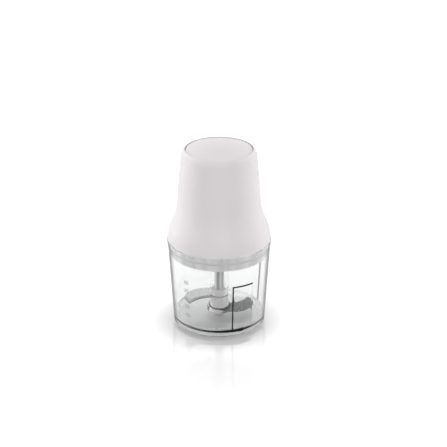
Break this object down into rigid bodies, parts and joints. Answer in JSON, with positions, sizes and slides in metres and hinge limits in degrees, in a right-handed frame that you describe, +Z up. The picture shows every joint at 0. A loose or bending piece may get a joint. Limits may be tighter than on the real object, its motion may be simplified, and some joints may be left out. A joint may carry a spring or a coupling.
{
  "type": "press-top mini chopper",
  "caption": "Press-top mini chopper: clear tapered bowl with a two-level sickle blade, geared coupling lid and white bell-shaped motor unit with a sprung push cap.",
  "frame": {"origin": "on the table at the centre of the bowl's foot ring", "axes": "+Z up along the drive axis, -Y towards the front, +Y towards the mains inlet at the back, +X to the right seen from the front"},
  "size_m": [0.123, 0.123, 0.2214],
  "materials": {
    "clear_plastic": "clear polished moulding",
    "white_plastic": "satin white moulding",
    "lid_grey": "light grey moulding",
    "grey_plastic": "mid grey moulding",
    "black_plastic": "black moulding",
    "gear_plastic": "natural acetal",
    "seal_rubber": "pale silicone",
    "blade_steel": "ground stainless",
    "steel": "bright steel",
    "lamination_steel": "stacked laminations",
    "bronze": "sintered bronze",
    "copper_wire": "enamelled copper",
    "carbon": "carbon",
    "capacitor_case": "moulded case"
  },
  "bodies": {
    "bowl": {"bowl": "clear_plastic", "blade_pin": "steel"},
    "blade_unit": {"blade_hub": "clear_plastic", "hub_core": "grey_plastic", "lower_blade": "blade_steel", "upper_blade": "blade_steel"},
    "lid_unit": {"lid": "lid_grey", "lid_seal": "seal_rubber", "shaft_seal": "seal_rubber", "output_bush": "bronze", "ring_gear": "gear_plastic", "gearbox_cover": "lid_grey", "gearbox_screws": "steel"},
    "sun_drive": {"sun_gear": "steel", "input_coupling": "grey_plastic"},
    "carrier": {"planet_carrier": "grey_plastic", "planet_pins": "steel", "output_shaft": "grey_plastic"},
    "planet_1": {"planet_gear_1": "gear_plastic"},
    "planet_2": {"planet_gear_2": "gear_plastic"},
    "planet_3": {"planet_gear_3": "gear_plastic"},
    "motor_unit": {"outer_housing": "white_plastic", "cord_inlet": "grey_plastic", "base_plate": "white_plastic", "base_screws": "steel", "lower_bracket": "black_plastic", "bracket_screws": "steel", "upper_bracket": "black_plastic", "motor_screws": "steel", "lower_bearing": "bronze", "upper_bearing": "bronze", "stator_core": "lamination_steel", "field_coils": "copper_wire", "brush_holders": "bronze", "carbon_brushes": "carbon", "micro_switch": "black_plastic", "suppression_capacitor": "capacitor_case", "return_spring": "steel"},
    "armature": {"motor_shaft": "steel", "armature_core": "lamination_steel", "armature_windings": "copper_wire", "commutator": "copper_wire", "cooling_fan": "black_plastic", "drive_dog": "grey_plastic"},
    "push_cap": {"push_cap": "white_plastic"},
    "switch_button": {"switch_button": "gear_plastic"}
  },
  "joints": [
    {"name": "lid_lift", "type": "slide", "parent": "bowl", "child": "lid_unit", "axis": [0, 0, 1], "range_m": [0, 0.07]},
    {"name": "motor_lift", "type": "slide", "parent": "lid_unit", "child": "motor_unit", "axis": [0, 0, 1], "range_m": [0, 0.04]},
    {"name": "cap_press", "type": "slide", "parent": "motor_unit", "child": "push_cap", "axis": [0, 0, -1], "range_m": [0, 0.004], "stiffness_N_per_m": 1500, "springref_m": -0.004, "deforming": ["return_spring"]},
    {"name": "switch_press", "type": "slide", "parent": "motor_unit", "child": "switch_button", "axis": [0, 0, -1], "range_m": [0, 0.004]},
    {"name": "armature_spin", "type": "hinge", "parent": "motor_unit", "child": "armature", "pos_m": [0, 0, 0.15], "axis": [0, 0, 1], "continuous": true},
    {"name": "sun_spin", "type": "hinge", "parent": "lid_unit", "child": "sun_drive", "pos_m": [0, 0, 0.1], "axis": [0, 0, 1], "continuous": true},
    {"name": "carrier_spin", "type": "hinge", "parent": "lid_unit", "child": "carrier", "pos_m": [0, 0, 0.09], "axis": [0, 0, 1], "continuous": true},
    {"name": "planet_1_spin", "type": "hinge", "parent": "carrier", "child": "planet_1", "pos_m": [0.01125, 0, 0.096], "axis": [0, 0, 1], "continuous": true},
    {"name": "planet_2_spin", "type": "hinge", "parent": "carrier", "child": "planet_2", "pos_m": [-0.00562, 0.00974, 0.096], "axis": [0, 0, 1], "continuous": true},
    {"name": "planet_3_spin", "type": "hinge", "parent": "carrier", "child": "planet_3", "pos_m": [-0.00562, -0.00974, 0.096], "axis": [0, 0, 1], "continuous": true},
    {"name": "blade_spin", "type": "hinge", "parent": "bowl", "child": "blade_unit", "pos_m": [0, 0, 0.02], "axis": [0, 0, 1], "continuous": true}
  ],
  "couplings": [
    {"joint": "switch_press", "follows": "cap_press", "ratio": 1},
    {"joint": "sun_spin", "follows": "armature_spin", "ratio": 1},
    {"joint": "carrier_spin", "follows": "armature_spin", "ratio": 0.25},
    {"joint": "planet_1_spin", "follows": "armature_spin", "ratio": -0.75},
    {"joint": "planet_2_spin", "follows": "armature_spin", "ratio": -0.75},
    {"joint": "planet_3_spin", "follows": "armature_spin", "ratio": -0.75},
    {"joint": "blade_spin", "follows": "armature_spin", "ratio": 0.25}
  ]
}
